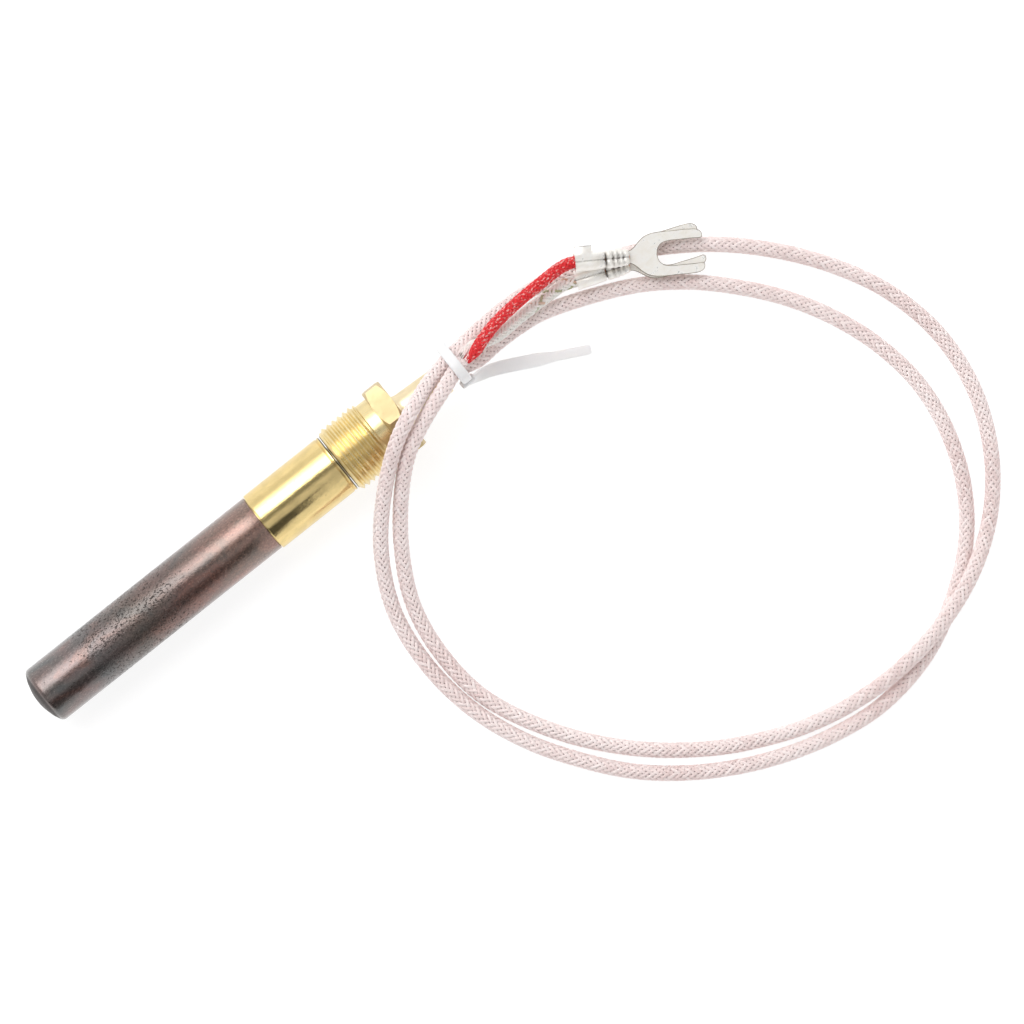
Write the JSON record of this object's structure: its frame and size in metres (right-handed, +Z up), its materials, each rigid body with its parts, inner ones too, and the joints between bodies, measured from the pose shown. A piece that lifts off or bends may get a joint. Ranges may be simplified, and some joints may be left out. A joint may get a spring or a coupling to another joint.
{
  "type": "thermopile generator",
  "caption": "Gas appliance thermopile generator: oxidised metal probe with brass sleeve, loose threaded nut, tapered neck, coiled glass-braid lead with a tie and fork terminals.",
  "frame": {"origin": "middle of the head (probe, sleeve, nut and neck) in plan, on the surface it lies on", "axes": "+X along the probe from its hot tip towards the lead, +Z up, +Y to the left of +X"},
  "size_m": [0.1472, 0.09, 0.0173],
  "materials": {
    "oxidised_steel": "heat-oxidised, brown with mauve and grey blotches, satin",
    "bright_brass": "turned and polished, fine lengthwise scratches",
    "nut_brass": "machined, bright, with turning lines",
    "neck_brass": "drawn, bright",
    "glass_braid": "braided glass fibre, pale pink, dry",
    "red_braid": "braided, bright red",
    "white_braid": "braided, natural with tracers",
    "tinned_brass": "tinned, satin",
    "natural_nylon": "natural nylon, slightly translucent",
    "couple_alloy": "drawn alloy wire",
    "ceramic": "unglazed ceramic",
    "fibre_liner": "pressed ceramic fibre",
    "cement": "cast cement",
    "copper": "bare copper"
  },
  "bodies": {
    "generator": {"probe_sheath": "oxidised_steel", "cold_junction_sleeve": "bright_brass", "rear_neck": "neck_brass", "tip_insulator": "fibre_liner", "insulation_sleeve": "fibre_liner", "ceramic_core": "ceramic", "cold_end_disc": "ceramic", "cement_plug": "cement", "positive_splice": "copper", "negative_splice": "copper", "inner_wire_red": "red_braid", "inner_wire_white": "white_braid", "lead_bush": "fibre_liner", "lead_cable": "glass_braid", "red_core": "red_braid", "white_core": "white_braid", "conductor_red": "copper", "conductor_white": "copper", "fork_terminal_red": "tinned_brass", "fork_terminal_white": "tinned_brass", "cable_tie": "natural_nylon", "thermocouple_01": "couple_alloy", "thermocouple_02": "couple_alloy", "thermocouple_03": "couple_alloy", "thermocouple_04": "couple_alloy", "thermocouple_05": "couple_alloy", "thermocouple_06": "couple_alloy", "thermocouple_07": "couple_alloy", "thermocouple_08": "couple_alloy", "thermocouple_09": "couple_alloy", "thermocouple_10": "couple_alloy", "thermocouple_11": "couple_alloy", "thermocouple_12": "couple_alloy", "thermocouple_13": "couple_alloy", "thermocouple_14": "couple_alloy", "thermocouple_15": "couple_alloy", "thermocouple_16": "couple_alloy", "thermocouple_17": "couple_alloy", "thermocouple_18": "couple_alloy", "thermocouple_19": "couple_alloy", "thermocouple_20": "couple_alloy", "thermocouple_21": "couple_alloy", "thermocouple_22": "couple_alloy", "thermocouple_23": "couple_alloy", "thermocouple_24": "couple_alloy"},
    "nut": {"attachment_nut": "nut_brass"}
  },
  "joints": [
    {"name": "nut_spin", "type": "hinge", "parent": "generator", "child": "nut", "pos_m": [0.02585, 0, 0.00693], "axis": [1, 0, 0], "continuous": true}
  ]
}
